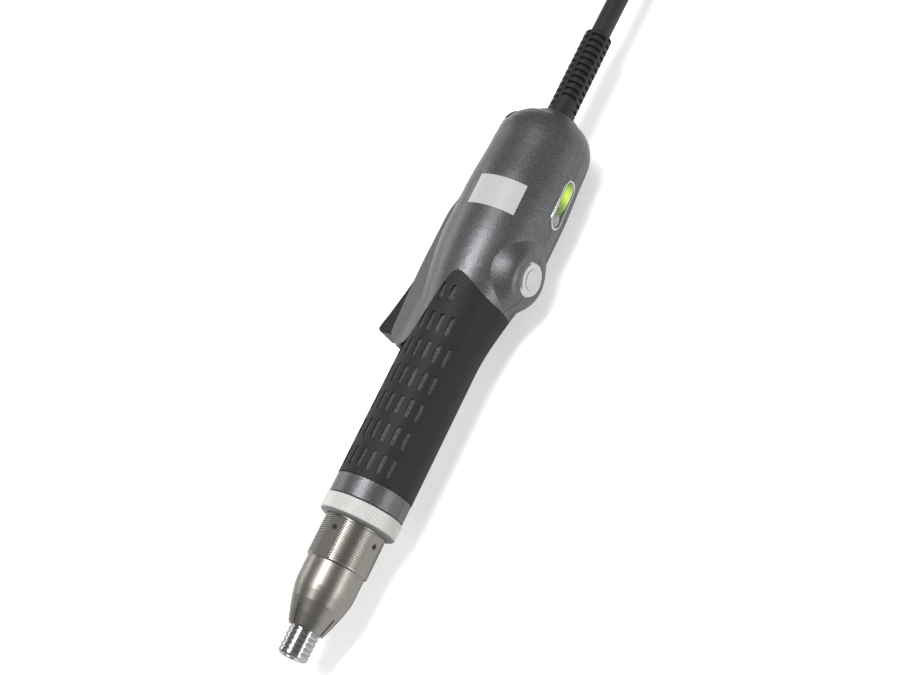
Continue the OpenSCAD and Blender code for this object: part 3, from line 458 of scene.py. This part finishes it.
def boot_radius(x, angle):
    """Outer radius at a station and at an angle from the row of slots, in millimetres."""
    r = 8.0 if x < 283.1 else 7.25 - 0.25 * max(0.0, min(1.0, (x - 284) / 8)) if x < 333.8 else 7.0 - (x - 333.8)
    facing = abs((math.degrees(angle) + 90) % 180 - 90)
    if 293.6 < x < 333 and facing < 33:
        step = abs((BOOT_END - 3.4 - x + SLOT_PITCH / 2) % SLOT_PITCH - SLOT_PITCH / 2)
        r -= 1.75 if step < 0.98 else 0
    if 287.5 < x < 334 and facing > 47:
        step = abs((BOOT_END - 1.6 - x + SLOT_PITCH / 2) % SLOT_PITCH - SLOT_PITCH / 2)
        r -= 1.3 if step < 0.85 else 0
    return r


boot_stations = [BOOT_ROOT, 280.0, 283.1] + [283.3 + 0.18 * i for i in range(286)]
boot_turn = math.atan2(-view_out.y, view_out.z)
boot_points, SIDES = [], 120
for x in boot_stations:
    for k in range(SIDES):
        a = 2 * math.pi * k / SIDES
        r = boot_radius(x, a)
        boot_points.append(Vector((x, -r * math.sin(a + boot_turn), r * math.cos(a + boot_turn))) * MM)
for x in (boot_stations[-1], BOOT_ROOT):
    for k in range(SIDES):
        a = 2 * math.pi * k / SIDES + boot_turn
        boot_points.append(Vector((x, -5.1 * math.sin(a), 5.1 * math.cos(a))) * MM)
rings = len(boot_stations) + 2
slotted_boot = mesh_object("slotted_boot", boot_points, band_faces(rings, SIDES), boot_rubber, 35)
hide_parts("cable_boot")
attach(slotted_boot, "root")

# ---------------------------------------------------------------- Hanging ring
# A split ring of spring wire, wound in two turns, and the rounded rim of the eyelet
# that holds it at the rear shoulder. Both are chrome plated.
EYE = Vector((284.1, 19.6, 0))
LEAN = math.radians(-18)
HANG_R = 8.6
RING_WIRE_R = 0.55
TURN_GAP = 1.04
EYE_R = 2.7
EYE_WIRE_R = 0.95
LOOP_POINTS = 72
WIRE_SIDES = 12


def wire_loop(name, place, radius, wire, finish):
    """A closed ring of round wire: place gives a point from its angle and its two offsets."""
    points = []
    for i in range(LOOP_POINTS):
        a = 2 * math.pi * i / LOOP_POINTS
        for k in range(WIRE_SIDES):
            b = 2 * math.pi * k / WIRE_SIDES
            points.append(place(a, radius + wire * math.cos(b), wire * math.sin(b)) * MM)
    return mesh_object(name, points, band_faces(LOOP_POINTS, WIRE_SIDES), finish, 60)


for turn, offset in (("inner_turn", -TURN_GAP / 2), ("outer_turn", TURN_GAP / 2)):
    def on_ring(a, out, aside, offset=offset):
        flat = Vector((-HANG_R + out * math.cos(a), aside + offset, out * math.sin(a)))
        return EYE + Matrix.Rotation(LEAN, 3, "Z") @ flat

    loop = wire_loop("split_ring_" + turn, on_ring, HANG_R, RING_WIRE_R, polished_chrome)
    if offset < 0:
        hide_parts("hanger_ring")
    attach(loop, "hanger")


def on_eye(a, out, aside):
    return EYE + Vector((out * math.cos(a), out * math.sin(a), aside))


round_eye = wire_loop("round_eye", on_eye, EYE_R, EYE_WIRE_R, polished_chrome)
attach(round_eye, "root")


# ---------------------------------------------------------------- Plate
# A bare satin plate let into the housing.
plate_white = moulding("plate_white", (0.5, 0.5, 0.51), 0.35)
dress(plate_white, "rating_plate")

# ---------------------------------------------------------------- Lamp window
# A bright rim, pressed into the housing, round one moulded lens. Its long rear dome
# glows green and its short front dome is an unlit grey.
WINDOW_X = 238.9
STADIUM_POINTS = 64
lens_grey = moulding("lens_grey", (0.33, 0.33, 0.34), 0.2)
lens_green = Finish("lens_green", roughness=0.18, emission_strength=0.42, coat_weight=0.4)
lens_x = lens_green.node("ShaderNodeSeparateXYZ", {}, {"Vector": lens_green.at}, 0)
from_lamp = lens_green.noise(10)._math("ABSOLUTE", lens_x - 243.5 * MM)
glow = 1 - from_lamp.above(3.4 * MM, 3.2 * MM)
lens_green.set(base_color=lens_green.mix(glow, (0.1, 0.2, 0.02), (0.32, 0.5, 0.03)))
lens_green.set(emission_color=lens_green.mix(glow, (0.12, 0.25, 0.005), (0.75, 0.95, 0.12)))


def stadium_ring(length, width):
    """Points (x, z) of a flat outline with round ends."""
    half, r = (length - width) / 2, width / 2
    ring = []
    for i in range(STADIUM_POINTS):
        a = 2 * math.pi * i / STADIUM_POINTS
        ring.append((half * (1 if math.cos(a) >= 0 else -1) + r * math.cos(a), r * math.sin(a)))
    return ring


def stacked_rings(name, rings, finish, smooth=40):
    """A closed skin over rings of points, with flat ends."""
    count = len(rings[0])
    points = [Vector(p) * MM for ring in rings for p in ring]
    return mesh_object(name, points, band_faces(len(rings), count, closed=False), finish, smooth)


rim_rings = []
for length, width, lift in ((26.2, 9.2, -1.6), (26.2, 9.2, 0.25), (25.6, 8.6, 0.55), (24.4, 7.4, 0.55),
                            (23.8, 6.8, 0.2), (23.8, 6.8, -1.6)):
    rim_rings.append([(WINDOW_X + x, -math.sqrt((housing_radius(WINDOW_X + x) + lift) ** 2 - z * z), z)
                      for x, z in stadium_ring(length, width)])
rim_points = [Vector(p) * MM for ring in rim_rings for p in ring]
window_rim = mesh_object("window_rim", rim_points, band_faces(len(rim_rings), STADIUM_POINTS), bezel_silver)
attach(window_rim, "root")


def lens_dome(name, middle, length, width, finish):
    """A pill-shaped dome that stands a little above the housing."""
    rings = []
    for step in range(9):
        size = math.cos(math.radians(10 * step))
        lift = -0.5 + 1.1 * math.sin(math.radians(10 * step))
        rings.append([(middle + x, -math.sqrt((housing_radius(middle) + lift) ** 2 - z * z), z)
                      for x, z in stadium_ring(length - width + width * size, width * size)])
    back = [(middle + x, -housing_radius(middle) + 2.2, z) for x, z in stadium_ring(length, width)]
    return stacked_rings(name, [back] + rings, finish, 60)


lens_floor = Finish("lens_floor", base_color=(0.16, 0.19, 0.1), roughness=0.3)
window_floor = stacked_rings("window_floor", [
    [(WINDOW_X + x, -math.sqrt((housing_radius(WINDOW_X + x) + lift) ** 2 - z * z), z)
     for x, z in stadium_ring(24.2, 7.2)] for lift in (-1.5, -0.55)], lens_floor)
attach(window_floor, "root")
green_dome = lens_dome("green_dome", 243.0, 15.0, 6.7, lens_green)
grey_dome = lens_dome("grey_dome", 230.3, 6.0, 5.9, lens_grey)
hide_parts("indicator_lens")
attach(green_dome, "root")
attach(grey_dome, "root")
lamp_green = Finish("lamp_green", base_color=(0.3, 0.75, 0.02), roughness=0.3,
                    emission_color=(0.45, 0.9, 0.03), emission_strength=1.2)
dress(lamp_green, "green_led")
lamp_grey = moulding("lamp_grey", (0.2, 0.2, 0.21), 0.3)
dress(lamp_grey, "grey_led")


# ---------------------------------------------------------------- Studio
# A pale sweep of paper under the tool and soft boxes over it.
paper = Finish("paper", base_color=(0.9, 0.9, 0.9), roughness=0.9, emission_strength=0.5)
seen_straight = paper.node("ShaderNodeLightPath", {}, {}, "Is Camera Ray")
seen_in_metal = paper.node("ShaderNodeLightPath", {}, {}, "Is Glossy Ray")
paper.set(emission_color=paper.mix(seen_straight + seen_in_metal * 0.24, (0, 0, 0), (1, 1, 1)))
floor_size = 6.0
floor = mesh_object("floor", [(x * floor_size, y * floor_size, TABLE_Z) for x, y in
                              ((-1, -1), (1, -1), (1, 1), (-1, 1))], [(0, 1, 2, 3)], paper)


def soft_box(name, at, target, size, power):
    light = bpy.data.lights.new(name, "AREA")
    light.shape = "RECTANGLE"
    light.size, light.size_y = size
    light.energy = power
    lamp = bpy.data.objects.new(name, light)
    lamp.location = at
    lamp.rotation_euler = (Vector(target) - Vector(at)).to_track_quat("-Z", "Y").to_euler()
    bpy.context.scene.collection.objects.link(lamp)


middle = (0.17, 0, 0)
soft_box("key", (0.16, -0.03, 0.9), middle, (0.7, 0.2), 7.5)
soft_box("button_side", (0.1, -0.9, 0.12), middle, (0.7, 0.16), 2.6)
soft_box("lever_side", (0.25, 0.8, 0.3), middle, (0.8, 0.25), 2.0)
world = bpy.data.worlds.new("world")
world.use_nodes = True
world.node_tree.nodes["Background"].inputs[0].default_value = (0.9, 0.9, 0.9, 1)
world.node_tree.nodes["Background"].inputs[1].default_value = 0.3
bpy.context.scene.world = world
bpy.context.scene.view_settings.view_transform = "Standard"
